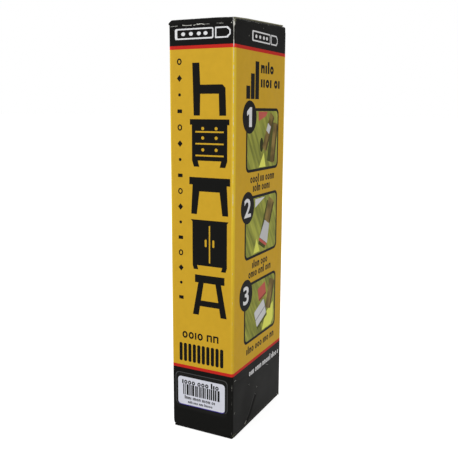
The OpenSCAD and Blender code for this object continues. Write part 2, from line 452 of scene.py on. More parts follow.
def bared_fibres():
    """Torn fibres of the board's white top layer, standing up where a scratch went through the ink."""
    return clouded("bared_board_fibres", 0.9, shades("bared", 0.6, 1), (0.4, 3), (0, 1), 0.05)


def clear_label_film():
    """Clear plastic label film over black ink: darker and smoother than the varnished board round it."""
    ends, sheen = shades("black", 1, 1.4), {"Specular IOR Level": 0.04}
    return clouded("clear_label_film", 0.25, ends, (9,), (0.35, 0.65), 0.1, (14, 1), **sheen)


def picture_ground():
    """Halftone print of a planed wooden board: olive with long straw-coloured streaks."""
    made, tree, shader, where = material("halftone_print_of_wood", INK_ROUGHNESS, **INK_SHEEN)
    if tree is None:
        return made
    turned = {"Vector": where, "Rotation": (math.radians(-34), 0, 0)}
    lean = node(tree, "ShaderNodeMapping", turned).outputs[0]
    streaks = noise(tree, lean, 3, 3, (3, 0.9, 8))
    broad = noise(tree, lean, 12, 1, (1, 1, 2.5))
    base = mix(tree, ramp(tree, broad, 0.3, 0.7), *shades("meadow", 0.6, 1))
    streaked = mix(tree, ramp(tree, streaks, 0.38, 0.8), base, ink_of("straw"))
    tree.links.new(streaked, shader.inputs["Base Color"])
    return made


def poured_wax():
    """Hard filler wax cast in a tube: a satin skin with a faint pale bloom and soft light inside."""
    wax = ink_of("wax")
    pale = [min(1, c * 1.35 + 0.03) for c in wax[:3]] + [1]
    return clouded("cast_filler_wax", 0.45, (wax, pale), (5, 4), (0.4, 0.75), 0.06, (1.5, 3), **{
        "Subsurface Weight": 0.25, "Subsurface Scale": 1.5 * MM, "Subsurface Radius": (1, 0.5, 0.25),
    })


def wrapper_paper():
    """Uncoated band paper: matt and warm, with a fine felt."""
    return clouded("uncoated_band_paper", 0.8, shades("wrapper", 0.88, 1), (0.9, 4), (0.35, 0.65), 0.04)


# The sleeve

# Pressed lines near the foot of the right panel: their share of the full dent, and where they run
CREASES = (
    (0.34, ((-3.2, 12.6), (-6, 9.4), (-9.6, 5), (-13.8, 2))),
    (0.06, ((-27.6, 26.8), (-17, 26.9), (-11, 25.6))),
)
CREASE_W = 0.5
# The shallow hollow between them: its share of the full dent, its middle and its reach each way
HOLLOW, HOLLOW_Y, HOLLOW_Z, HOLLOW_REACH = 0.2, -17, 16, (9, 10)
# Where the two crushed corners at the foot begin to fade, and how high and how wide they are
CRUSHED_FROM, CRUSHED_H, CRUSHED_W = 0.6, 2.6, 1.2


def distance_to_line(p, q, a, b):
    """How far the point p, q lies from the stretch from a to b."""
    along, off = Vector(b) - Vector(a), Vector((p, q)) - Vector(a)
    share = max(0, min(1, off.dot(along) / along.length_squared))
    return (off - share * along).length


def dent_at(spot):
    """Share of the full dent depth at a point of the right panel, which has been knocked near its foot."""
    if spot.x < HALF_W - 1 or spot.z > 60:
        return 0
    wide, tall = HOLLOW_REACH
    depth = HOLLOW * math.exp(-((spot.y - HOLLOW_Y) / wide) ** 2 - ((spot.z - HOLLOW_Z) / tall) ** 2)
    for share, line in CREASES:
        nearest = min(distance_to_line(spot.y, spot.z, a, b) for a, b in zip(line, line[1:]))
        depth += share * math.exp(-(nearest / CREASE_W) ** 2)
    return depth


def crushed_at(spot):
    """The same for the two corners in front, crushed a little round where the carton has stood."""
    if spot.y > 0:
        return 0
    in_x, in_y = HALF_W - abs(spot.x), spot.y - FRONT_Y
    height = max(0, 1 - (spot.z - CRUSHED_FROM) / CRUSHED_H)
    away = min(abs(in_x), abs(in_y)) + 0.35 * max(0, max(in_x, in_y) - sizes().fold_r)
    return height ** 2 * max(0, 1 - away / CRUSHED_W)


def fold_angle(spot):
    """Degrees that a point lies round an upright fold, from the narrow panel. None on the flat panels."""
    reach = sizes().fold_r + sizes().face_depth
    in_x, in_y = HALF_W - abs(spot.x), min(spot.y - FRONT_Y, BACK_Y - spot.y)
    if max(in_x, in_y) > reach + 0.01:
        return None
    return math.degrees(math.atan2(reach - in_x, reach - in_y))


def on_narrow_panel(spot):
    return abs(spot.x) < HALF_W - 0.6


def past_fold(spot):
    """How far a point of a wide panel lies past the upright fold, in millimetres."""
    return min(spot.y - FRONT_Y, BACK_Y - spot.y) - sizes().fold_r - sizes().face_depth


def fold_highlight_at(spot):
    """Strength of the painted highlight that stands for light caught by the rounded upright folds: round a
    fold, and a little past it higher up.
    """
    turn = fold_angle(spot)
    share = 0.3 + 0.7 * max(0, min(1, (spot.z - 45) / 60))
    if turn is not None:
        return min(1, turn / 15) * share
    if on_narrow_panel(spot):
        return 0
    return share * max(0, 1 - past_fold(spot) / (0.4 + max(0, min(0.9, (spot.z - 90) / 60))))


def wear_at(spot):
    """How much a point's ink has rubbed: most on the fold in front, at the top and along the crease."""
    near = spot.x > 0 and spot.y < 0
    high = spot.z > sizes().stripe_high
    under_crease = HINGE["top_lid_hinge"].z - spot.z
    turn = fold_angle(spot)
    if turn is not None:
        if near and under_crease < 1.8:
            return math.exp(-((turn - 45) / 30) ** 2)
        crest = math.exp(-((turn - 38) / 11) ** 2)
        if near:
            return crest * (0.9 if high else 0.74 if spot.z > 150 else 0.68 if spot.z > 105 else 0.5)
        return crest * (0.5 if high else 0.38)
    if near and high and not on_narrow_panel(spot) and 0.3 < past_fold(spot) < 0.8:
        return 0.56
    if spot.y < 0 and on_narrow_panel(spot) and 0 < under_crease < 1.1:
        return 0.3
    return 0.24 if SLEEVE_HIGH.z - spot.z < 1 else 0


def is_upright(middle, way):
    return abs(way.z) > 1


def build_sleeve():
    s = sizes()
    inset = s.face_depth
    low, high = SLEEVE_LOW.z, SLEEVE_HIGH.z
    size = (2 * (HALF_W - inset), 2 * (BACK_Y - inset), high - low)
    sleeve = start(
        bpy.ops.mesh.primitive_cube_add, size=1, location=(0, 0, (low + high) / 2 * MM),
        scale=[side * MM for side in size],
    )
    remove(sleeve, lambda middle, facing: abs(facing.z) > 0.5)
    edit(sleeve, "edges", is_upright, bpy.ops.mesh.bevel,
         offset=s.fold_r * MM, segments=12, profile=0.5, affect="EDGES")
    edit(sleeve, "edges", is_upright, bpy.ops.mesh.subdivide, number_cuts=round((high - low) / s.grid))
    for side in size[:2]:
        flat = side - 2 * s.fold_r
        edit(sleeve, "edges", lambda middle, way: abs(way.length - flat) < 0.5,
             bpy.ops.mesh.subdivide, number_cuts=round(flat / s.grid))
    front_low, front_high = HINGE["bottom_lid_hinge"].z, HINGE["top_lid_hinge"].z
    side_low, side_high = HINGE["bottom_dust_right_fold"].z, HINGE["top_dust_right_fold"].z
    stripes = [z + k * s.stripe_w / 2 for z in (s.stripe_low, s.stripe_high) for k in (-1, 1)]
    for z in [front_low, front_high, side_low, side_high] + stripes:
        cut(sleeve, (0, 0, z), (0, 0, 1))
    # finer faces beside the folds, where the ink is rubbed and the painted fold highlight fades out, and
    # near the dented foot
    for past in (0.5, 1, 1.5):
        for side in (FRONT_Y, BACK_Y):
            toward = math.copysign(inset + s.fold_r + past, -side)
            cut(sleeve, (0, side + toward, 0), (0, 1, 0))
    for z in (1.5, 2.5, 3.5):
        cut(sleeve, (0, 0, z), (0, 0, 1))
    edit(sleeve, "faces", lambda middle, facing: facing.x > 0.99 and 1 < middle.z < 29,
         bpy.ops.mesh.subdivide, number_cuts=2)
    fold_end = FRONT_Y + s.fold_r
    remove(sleeve, lambda middle, facing: (
        middle.y < fold_end and not front_low < middle.z < front_high
        or fold_end < middle.y < BACK_Y - s.fold_r and not side_low < middle.z < side_high
    ))
    dents = sleeve.vertex_groups.new(name="dents")
    for vertex in sleeve.data.vertices:
        spot = vertex.co / MM
        dents.add([vertex.index], min(1, dent_at(spot) + crushed_at(spot)), "REPLACE")
    modify(sleeve, "DISPLACE", strength=-s.dent * MM, mid_level=0, vertex_group="dents")
    mark(sleeve, "wear", wear_at)
    # the stretch attribute holds the strength of the painted fold highlight
    mark(sleeve, "stretch", fold_highlight_at)
    order_materials(sleeve, [printed_board(ink) for ink in ("red", "yellow")] + board("black"))
    for face in sleeve.data.polygons:
        z = face.center.z / MM
        in_yellow, in_red = stripes[1] < z < stripes[2], stripes[0] < z < stripes[3]
        face.material_index = 1 if in_yellow else 0 if in_red else 2
    thicken(sleeve)
    line_inside(sleeve)
    shade(sleeve)
    finish_piece(sleeve, "printed_sleeve", "carton", "printed_board", "sleeve")


def line_inside(sleeve):
    """Gives the sleeve's inner faces the liner, and the cut edge to its rims and to the small upright faces
    where the top or foot edge steps from one panel to the next."""
    liner, edge, into_board = 3, 4, BOARD_T * 0.7
    for face in sleeve.data.polygons:
        middle, facing = face.center / MM, face.normal
        near_end = middle.z < 2.5 or middle.z > SLEEVE_HIGH.z - 2.5
        on_side = abs(middle.x) > HALF_W - into_board and abs(middle.y) < BACK_Y - into_board
        if abs(facing.z) > 0.7 or near_end and on_side and abs(facing.y) > 0.9:
            face.material_index = edge
        elif facing.x * middle.x / HALF_W ** 2 + facing.y * middle.y / BACK_Y ** 2 < 0:
            face.material_index = liner


class CARTON_OT_sleeve(bpy.types.Operator):
    """Folds the four walls from one printed board"""
    bl_idname = "carton.sleeve"
    bl_label = "Printed sleeve"

    def execute(self, context):
        build_sleeve()
        return {"FINISHED"}


# The closures, modelled for an end whose shut lid has its outer face at height z, then stood on end

# Where the near corner of the top lid's fold begins to sag, and how far each way the sag runs out
SAG_FROM, SAG_W, SAG_REACH = 6, 10, 14
# How far back the base lid's crushed front corners reach, and the width of its two inked edges
CRUSHED_REACH, INKED_EDGE_W = 4, 1
# How far a dust flap's shoulder is drawn out below its fold, before it is cut level where it has sprung to
SHOULDER_SPARE = 4


def end_frame(end):
    """The height of a shut lid's outer face and the radius of its fold, at the top or the bottom."""
    hinge_z = HINGE[f"{end}_lid_hinge"].z
    if end == "top":
        return hinge_z + sizes().top_fold_r, sizes().top_fold_r
    return -hinge_z + sizes().base_fold_r, sizes().base_fold_r


def reach_of_lid():
    """Distance from the front face to a shut lid's far edge, from the bottom tuck's fold."""
    return HINGE["bottom_tuck_fold"].y - FRONT_Y + sizes().tuck_fold_r


def spring_open(obj, end):
    """Turns a shut top closure about its lid's crease to where the fold's spring holds it."""
    z, r = end_frame(end)
    tilt = math.radians(sizes().lid_spring) if end == "top" else 0
    turn_about(obj, HINGE[f"{end}_lid_hinge"].y, z - r, tilt)


def turn_over(obj, end):
    """Mirrors a closure of the bottom to its place."""
    if end == "bottom":
        mirror(obj, (0, 0, 1))


def sheet(x_low, x_high, y_low, y_high, z):
    """A flat grid of board facing up, to be folded."""
    width, depth = x_high - x_low, y_high - y_low
    return start(
        bpy.ops.mesh.primitive_grid_add, size=1, x_subdivisions=round(width / sizes().grid),
        y_subdivisions=round(depth / sizes().grid),
        location=((x_low + x_high) / 2 * MM, (y_low + y_high) / 2 * MM, z * MM),
        scale=(width * MM, depth * MM, 1),
    )


def fold(obj, test, centre, angle, axis=(1, 0, 0)):
    """Extrudes the picked edges round a fold."""
    edit(obj, "edges", test, bpy.ops.mesh.spin, steps=10, angle=angle, center=Vector(centre) * MM, axis=axis)


def face_along(obj, way=(0, 0, 1)):
    """Turns all faces of an open sheet the same way, with the most of it facing along the way."""
    edit(obj, "faces", every, bpy.ops.mesh.normals_make_consistent, inside=False)
    if sum(face.normal.dot(Vector(way)) * face.area for face in obj.data.polygons) < 0:
        edit(obj, "faces", every, bpy.ops.mesh.flip_normals)


def skin(obj, materials):
    """Thickens a folded sheet, with an outside, a liner and cut edges."""
    order_materials(obj, materials)
    thicken(obj, material_offset=len(materials) - 2, material_offset_rim=len(materials) - 1)
    shade(obj)


def build_lid(end):
    s = sizes()
    z, r = end_frame(end)
    side_gap, crease_gap = (
        (s.lid_side_gap, s.crease_side_gap) if end == "top" else (s.base_side_gap, s.base_crease_gap)
    )
    half = HALF_W - side_gap
    flat_from, flat_to = FRONT_Y + r, FRONT_Y + reach_of_lid() - s.tuck_fold_r
    lid = sheet(-half, half, flat_from, flat_to, z - s.face_depth / 2)
    fold(
        lid, lambda middle, way: abs(middle.y - flat_from) < 0.01 and abs(way.x) > 0.1,
        (0, flat_from, z - r), -math.pi / 2,
    )
    hem = z - BOARD_T / 2
    for vertex in lid.data.vertices:
        share = max(0, min(1, 1.5 * (hem - vertex.co.z / MM) / (hem - (z - r))))
        vertex.co.x *= (HALF_W - side_gap - share * (crease_gap - side_gap)) / half
        back = vertex.co.y / MM - FRONT_Y
        if end == "top":
            near = max(0, (vertex.co.x / MM - SAG_FROM) / SAG_W) * max(0, 1 - back / SAG_REACH)
            vertex.co.z -= s.corner_sag * near * (1 - share) * MM
        else:
            vertex.co.x *= 1 - s.crushed_corner / HALF_W * max(0, 1 - back / CRUSHED_REACH) ** 2
        vertex.co.y = max(vertex.co.y, (FRONT_Y + s.face_depth) * MM)
    face_along(lid)
    # the share of rubbed ink, and of the painted highlight along the lid's fold crest
    rubbed = 1 if end == "top" else 0.5
    mark(lid, "wear", lambda spot: rubbed * lid_wear_and_highlight(spot, z, r, flat_from))
    ink, liner, edge = board("black")
    if end == "top":
        skin(lid, [ink, liner, edge])
    else:
        # the two edges that the carton stands on are given the black ink, which makes them dark, and so is
        # the rim of the liner
        for x in (INKED_EDGE_W - half, half - INKED_EDGE_W):
            cut(lid, (x, 0, 0), (1, 0, 0))
        skin(lid, [ink, liner, ink])
        for face in lid.data.polygons:
            if abs(face.center.x) / MM > half - INKED_EDGE_W:
                face.material_index = 0
    spring_open(lid, end)
    turn_over(lid, end)
    finish_piece(lid, f"{end}_lid_board", f"{end}_lid", "black_board", f"{end}_lid")


def lid_wear_and_highlight(spot, z, r, flat_from):
    """Rubbed ink and a painted highlight on a shut lid: the crest of its fold, where it turns up to the
    light, most at the fold's two ends.
    """
    if spot.y > flat_from + 1.5:
        return 0.12 if abs(spot.x) > HALF_W - sizes().lid_side_gap - 0.5 else 0
    turn = math.degrees(math.atan2(spot.z - (z - r), max(0, flat_from - spot.y)))
    # painted highlight, with some rubbed ink, along the crest where the fold turns up to the light
    crest = math.exp(-((turn - 76) / 15) ** 2)
    if abs(spot.x) > HALF_W - 1.6:
        return 0.8 if turn < 45 and spot.x > 0 else max(0.4, 0.64 * crest)
    return max(0.22 if turn < 12 else 0, 0.6 * crest)


def build_tuck(end):
    s = sizes()
    z = end_frame(end)[0]
    name = f"{end}_tuck_flap"
    half = box_of(name)[1].x
    y_fold, z_fold = FRONT_Y + reach_of_lid() - s.tuck_fold_r, z - s.tuck_fold_r
    straight = s.tuck_len - s.tuck_fold_r
    turn = math.radians(-s.tuck_fold)
    tuck = start(
        bpy.ops.mesh.primitive_plane_add, size=1,
        location=(0, (y_fold + straight / 2) * MM, (z - s.face_depth / 2) * MM),
        scale=(2 * half * MM, straight * MM, 1),
    )
    edit(tuck, "verts", lambda spot, facing: spot.y > y_fold + straight / 2,
         bpy.ops.mesh.bevel, offset=s.tuck_corner_r * MM, segments=8, affect="VERTICES")
    turn_about(tuck, y_fold, z_fold, turn)
    edge_z = max(vertex.co.z for vertex in tuck.data.vertices) / MM
    fold(
        tuck, lambda middle, way: abs(middle.z - edge_z) < 0.3 and abs(way.x) > half,
        (0, y_fold, z_fold), turn,
    )
    face_along(tuck, (0, 1, 1))
    mark(tuck, "wear", lambda spot: 0.4 if spot.z > z - s.tuck_fold_r * 0.6 else 0)
    skin(tuck, board("black"))
    spring_open(tuck, end)
    turn_over(tuck, end)
    finish_piece(tuck, f"{end}_tuck_board", name, "black_board", name)


def build_dust(end, side):
    """A dust flap: a shoulder that rises from the side panel, and a tapered roof under the lid."""
    s = sizes()
    z, r = end_frame(end)
    r_dust = s.dust_fold_r
    roof = z - BOARD_T - s.dust_lid_gap
    foot_z = roof - r_dust
    inner, fold_x = box_of(f"{end}_dust_flap_right")[0].x, HALF_W - r_dust
    tab = fold_x + s.dust_end_gap
    tab_front, tab_rear = FRONT_Y + s.fold_r + s.dust_end_gap, BACK_Y - s.fold_r - s.dust_end_gap
    front, rear = FRONT_Y + r + s.dust_front_gap, BACK_Y - BOARD_T - s.dust_back_gap
    flap = sheet(inner, fold_x, tab_front, tab_rear, roof - s.face_depth / 2)
    fold(
        flap, lambda middle, way: abs(middle.x - fold_x) < 0.01 and abs(way.y) > 0.1,
        (fold_x, 0, foot_z), -math.pi / 2, (0, 1, 0),
    )
    hem = min(vertex.co.z for vertex in flap.data.vertices) / MM
    edit(flap, "edges", lambda middle, way: abs(middle.z - hem) < 0.01 and abs(way.y) > 0.1,
         bpy.ops.mesh.extrude_edges_move, TRANSFORM_OT_translate={"value": (0, 0, -SHOULDER_SPARE * MM)})
    slope = math.tan(math.radians(s.dust_taper))
    for point, normal in (
        ((0, front, 0), (0, 1, 0)), ((0, rear, 0), (0, 1, 0)), ((tab, 0, 0), (1, 0, 0)),
        ((tab, front, 0), (slope, 1, 0)), ((inner, rear - s.dust_corner, 0), (-1, 1, 0)),
    ):
        cut(flap, point, normal)
    remove(flap, lambda middle, facing: middle.x < tab and (
        not front < middle.y < rear
        or middle.y < front + (tab - middle.x) * slope
        or middle.y > rear - s.dust_corner + middle.x - inner
    ))
    face_along(flap)
    rubbed = 0.45 if end == "top" else 0.25
    mark(flap, "wear", lambda spot: rubbed if spot.z > foot_z and spot.x > tab else 0)
    spring_open(flap, end)
    cut(flap, (0, 0, foot_z), (0, 0, 1))
    remove(flap, lambda middle, facing: middle.z < foot_z)
    skin(flap, board("black"))
    turn_over(flap, end)
    if side == "left":
        mirror(flap, (1, 0, 0))
    name = f"{end}_dust_flap_{side}"
    finish_piece(flap, f"{end}_dust_board_{side}", name, "black_board", name)


class CARTON_OT_closures(bpy.types.Operator):
    """Folds the lids, tucks and dust flaps of both ends"""
    bl_idname = "carton.closures"
    bl_label = "Lids, tucks and dust flaps"

    def execute(self, context):
        for end in ("top", "bottom"):
            build_lid(end)
            build_tuck(end)
            for side in ("right", "left"):
                build_dust(end, side)
        return {"FINISHED"}


# The print. A shape is one or more outlines, lists of points in millimetres across and up a panel

def box_shape(left, low, right, high):
    return [[(left, low), (right, low), (right, high), (left, high)]]


def arc(cx, cy, rx, ry, begin, end, steps):
    turns = [begin + (end - begin) * i / steps for i in range(steps + 1)]
    return [(cx + rx * math.cos(turn), cy + ry * math.sin(turn)) for turn in turns]


def oval(cx, cy, rx, ry):
    return [arc(cx, cy, rx, ry, 0, 2 * math.pi, 48)[:-1]]


def soft_box(left, low, right, high, r):
    """A rectangle with round corners."""
    quarter = math.pi / 2
    corners = ((right - r, high - r), (left + r, high - r), (left + r, low + r), (right - r, low + r))
    line = []
    for turn, (x, y) in enumerate(corners):
        line += arc(x, y, r, r, turn * quarter, (turn + 1) * quarter, 6)
    return [line]


def mirrored(right):
    """A shape alike on both sides, from the right half of its outline."""
    left = [(-x, y) for x, y in right]
    return [left[:1] + right + left[:0:-1]]


def moved(shape, right=0, up=0, turn=0, scale=1):
    c, s = math.cos(math.radians(turn)) * scale, math.sin(math.radians(turn)) * scale
    return [[(right + x * c - y * s, up + x * s + y * c) for x, y in line] for line in shape]


def panel_matrix(panel):
    """Takes across, up and out on a panel to the carton's own axes."""
    across, out, origin = {
        "front": ((1, 0, 0), (0, -1, 0), (0, FRONT_Y, 0)),
        "right": ((0, 1, 0), (1, 0, 0), (HALF_W, 0, 0)),
        "back": ((-1, 0, 0), (0, 1, 0), (0, BACK_Y, 0)),
        "left": ((0, -1, 0), (-1, 0, 0), (-HALF_W, 0, 0)),
    }[panel]
    turn = Matrix((across, (0, 0, 1), out)).transposed().to_4x4()
    return Matrix.Translation(Vector(origin) * MM) @ turn


def relief(shapes, made, panel, low, high):
    """A flat piece on a panel, from low to high millimetres above the bare board."""
    curve = bpy.data.curves.new("print", "CURVE")
    curve.dimensions = "2D"
    curve.fill_mode = "BOTH"
    curve.extrude = (high - low) / 2 * MM
    for line in shapes:
        spline = curve.splines.new("POLY")
        spline.points.add(len(line) - 1)
        for point, (x, y) in zip(spline.points, line):
            point.co = (x * MM, y * MM, 0, 1)
        spline.use_cyclic_u = True
    piece = bpy.data.objects.new("print", curve)
    bpy.context.collection.objects.link(piece)
    take(piece)
    bpy.ops.object.convert(target="MESH")
    piece = bpy.context.object
    weld(piece)
    rise = (low + high) / 2 - sizes().face_depth
    place(piece, panel_matrix(panel) @ Matrix.Translation((0, 0, rise * MM)))
    order_materials(piece, [made])
    return piece


def stamp(shapes, made, panel, layer):
    """Prints shapes in one film of ink. Layer 1 lies on the board, layer 2 on layer 1."""
    ink_t = sizes().ink_t
    return relief(shapes, made, panel, (layer - 1) * ink_t, layer * ink_t)


def outlines_of(mesh):
    """The boundary loops of a flat mesh."""
    bmesh.ops.remove_doubles(mesh, verts=mesh.verts, dist=1e-5)
    beside = {}
    for edge in mesh.edges:
        if len(edge.link_faces) == 1:
            a, b = edge.verts
            beside.setdefault(a, []).append(b)
            beside.setdefault(b, []).append(a)
    left, lines = list(beside), []
    while left:
        line = [left.pop(0)]
        while options := [v for v in beside[line[-1]] if v in left]:
            line.append(options[0])
            left.remove(options[0])
        lines.append([(v.co.x, v.co.y) for v in line])
    return lines


# The numeral one, 10 high: the font's own is too near a plain bar. The rest are the font's, made wider
ONE = [[(-0.7, -5), (2.6, -5), (2.6, 5), (0.4, 5), (-3.2, 2.9), (-3.2, 0.6), (-0.7, 1.6)]]
DIGIT_WIDTH = 1.25


def digit(character, height):
    """A bold numeral, from Blender's own plain font, as outlines about its middle."""
    if character == "1":
        return moved(ONE, scale=height / 10)
    bpy.ops.object.select_all(action="DESELECT")
    bpy.ops.object.text_add()
    text = bpy.context.object.data
    text.body = character
    text.offset = 0.02
    text.resolution_u = 4
    bpy.ops.object.convert(target="MESH")
    mesh = bmesh.new()
    mesh.from_mesh(bpy.context.object.data)
    lines = outlines_of(mesh)
    mesh.free()
    bpy.ops.object.delete()
    xs, ys = zip(*(point for line in lines for point in line))
    centred = moved(lines, -(max(xs) + min(xs)) / 2, -(max(ys) + min(ys)) / 2)
    scaled = moved(centred, scale=height / (max(ys) - min(ys)))
    return [[(x * DIGIT_WIDTH, y) for x, y in line] for line in scaled]


CHAIR = [[
    (-8, -11.5), (-8.6, 11.5), (-5, 11.5), (-4.6, 2), (6.5, 2), (8, 0.5), (8.4, -11.5), (5, -11.5),
    (4.7, -2), (-4.6, -2), (-4.8, -11.5),
]]
TABLE = mirrored([(10.5, 8), (10.5, 4.6), (8.8, 4.6), (9.6, -9), (6.6, -9), (5.2, 1.6)])
STOOL = mirrored([(7.8, 9.5), (7.8, 5.8), (6, 5.8), (9, -10), (5.8, -10), (5.1, -5.6)])
STOOL += [[(-4.6, -2.8), (4.6, -2.8), (3.1, 5.8), (-3.1, 5.8)]]
CHEST = mirrored([(10, 10.5), (10, 8), (9, 8), (9, -8), (8, -10.8), (5.2, -10.8), (6, -8)])
CHEST += [line for z in (4.9, -0.4, -5.7) for line in box_shape(-7.2, z - 0.35, 7.2, z + 0.35)]
CHEST += [line for z in (6.4, 2.2, -3.1) for x in (-3.4, 3.4) for line in oval(x, z, 0.75, 0.75)]
WARDROBE = [[
    (-9, 11), (-9.8, 12), (9.8, 12), (9, 11), (9, -9.5), (8.4, -11.5), (6, -11.5), (6.6, -9.5), (-6.6, -9.5),
    (-6, -11.5), (-8.4, -11.5), (-9, -9.5),
]]
WARDROBE += box_shape(-0.35, -8, 0.35, 9.5)
WARDROBE += [line for x in (-2, 2) for line in soft_box(x - 0.5, -0.5, x + 0.5, 3, 0.4)]
FURNITURE = (CHAIR, CHEST, TABLE, WARDROBE, STOOL)
FURNITURE_TOP, FURNITURE_PITCH, FURNITURE_SCALE = 159.5, 23.1, 0.98

# Small marks that fill the narrow column, each drawn about its middle
DOT, RING = oval(0, 0, 0.7, 0.7), oval(0, 0, 1.2, 1.4) + oval(0, 0, 0.6, 0.8)
DIAMOND = [[(-1.3, 0), (0, -1.5), (1.3, 0), (0, 1.5)]]
BLOCK = soft_box(-1.2, -0.8, 1.2, 0.8, 0.2)
MARKS = (BLOCK, RING, DIAMOND, DOT)
MARK_COUNT, MARK_FOOT, MARK_PITCH = 16, 64.6, 7.12

# The row of short bars, one for each stick
BAR_COUNT, BAR_LEFT, BAR_PITCH, BAR_W = 10, -12.1, 2.42, 1.7


def stick_sign(left, right, middle, height):
    """A wax stick lying on its side: the outline of its banded wrapper, and its bare, bevelled head."""
    low, high = middle - height / 2, middle + height / 2
    bare = left + (right - left) * 0.7
    bevel, line = height * 0.3, height * 0.13
    shapes = soft_box(left, low, bare, high, 0.8)
    shapes += soft_box(left + 2 * line, low + line, bare - line, high - line, 0.4)
    for inset in (0, line):
        tip, back = right - inset, bare + 0.8 + inset
        shapes.append([
            (back, low + inset), (tip - bevel, low + inset), (tip, low + bevel + inset / 2),
            (tip, high - bevel - inset / 2), (tip - bevel, high - inset), (back, high - inset),
        ])
    span = (bare - left - 2.8) / 5
    for i in (0.7, 1.9, 3.1, 4.1):
        shapes += oval(left + 1.9 + i * span, middle, span * 0.3, height * 0.17)
    return shapes


def lettering(left, right, low, high, seed, stroke=0.38, wide=0.64):
    """A line of print too small to read: rings, stems and arches, with gaps between its words."""
    chance = random.Random(seed)
    tall = high - low
    w, x, left_in_word, shapes = tall * wide, left, 4, []
    bar, leg, ring, top = w * stroke, w * min(stroke, 0.34), w * min(stroke, 0.3), low + tall * 0.68
    while x + w * 0.9 <= right:
        kind = chance.choice("oooiilnn")
        if kind == "o":
            middle = (x + w * 0.46, low + tall * 0.34)
            for inset in (0, ring):
                shapes += oval(*middle, w * 0.46 - inset, tall * 0.35 - inset)
        elif kind == "n":
            far = x + w * 0.9
            shapes.append([
                (x, low), (x + leg, low), (x + leg, top - leg), (far - leg, top - leg), (far - leg, low),
                (far, low), (far, top - tall * 0.1), (x + w * 0.76, top), (x, top),
            ])
        else:
            shapes += box_shape(x, low, x + bar, high if kind == "l" else top)
        x += bar + w * 0.2 if kind in "il" else w * 1.1
        left_in_word -= 1
        if not left_in_word:
            x += w * 0.5
            left_in_word = chance.choice((3, 4, 6))
    return shapes


def end_panel_print(panel):
    """The print of the two narrow panels."""
    shapes = []
    for i, shape in enumerate(FURNITURE):
        shapes += moved(shape, 4.2, FURNITURE_TOP - i * FURNITURE_PITCH, scale=FURNITURE_SCALE)
    for i in range(MARK_COUNT):
        shapes += moved(MARKS[i * 3 % len(MARKS)], -10.8, MARK_FOOT + i * MARK_PITCH)
    shapes += lettering(-10.4, 10.6, 44.9, 49.7, 1, 0.26)
    for i in range(BAR_COUNT):
        left = BAR_LEFT + i * BAR_PITCH
        shapes += soft_box(left, 33.3, left + BAR_W, 42.4, 0.8)
    return [
        stamp(shapes, film("black"), panel, 1),
        stamp(stick_sign(-12.9, 14.4, 182.9, 4.6), film("white"), panel, 1),
    ]


# The three pictures: their outer edges, the middle and half size of the oval that numbers each, and the
# left and right end of each line of the caption
PICTURES = (
    ((-16.4, 122.7, 20.5, 151.6), (-12.8, 147.6, 7.3, 7.35), ((-11.5, 16), (-8.5, 12.5))),
    ((-17, 82, 20.3, 111.6), (-14.1, 106.6, 7, 7.45), ((-8.5, 10.5), (-12.5, 15))),
    ((-16.9, 41, 20.1, 70.4), (-15, 65.4, 7, 7.5), ((-14, 20),)),
)
PICTURE_FRAME_W, PICTURE_R = 1.3, 3
CAPTION_H, CAPTION_PITCH = 3.9, 4.2
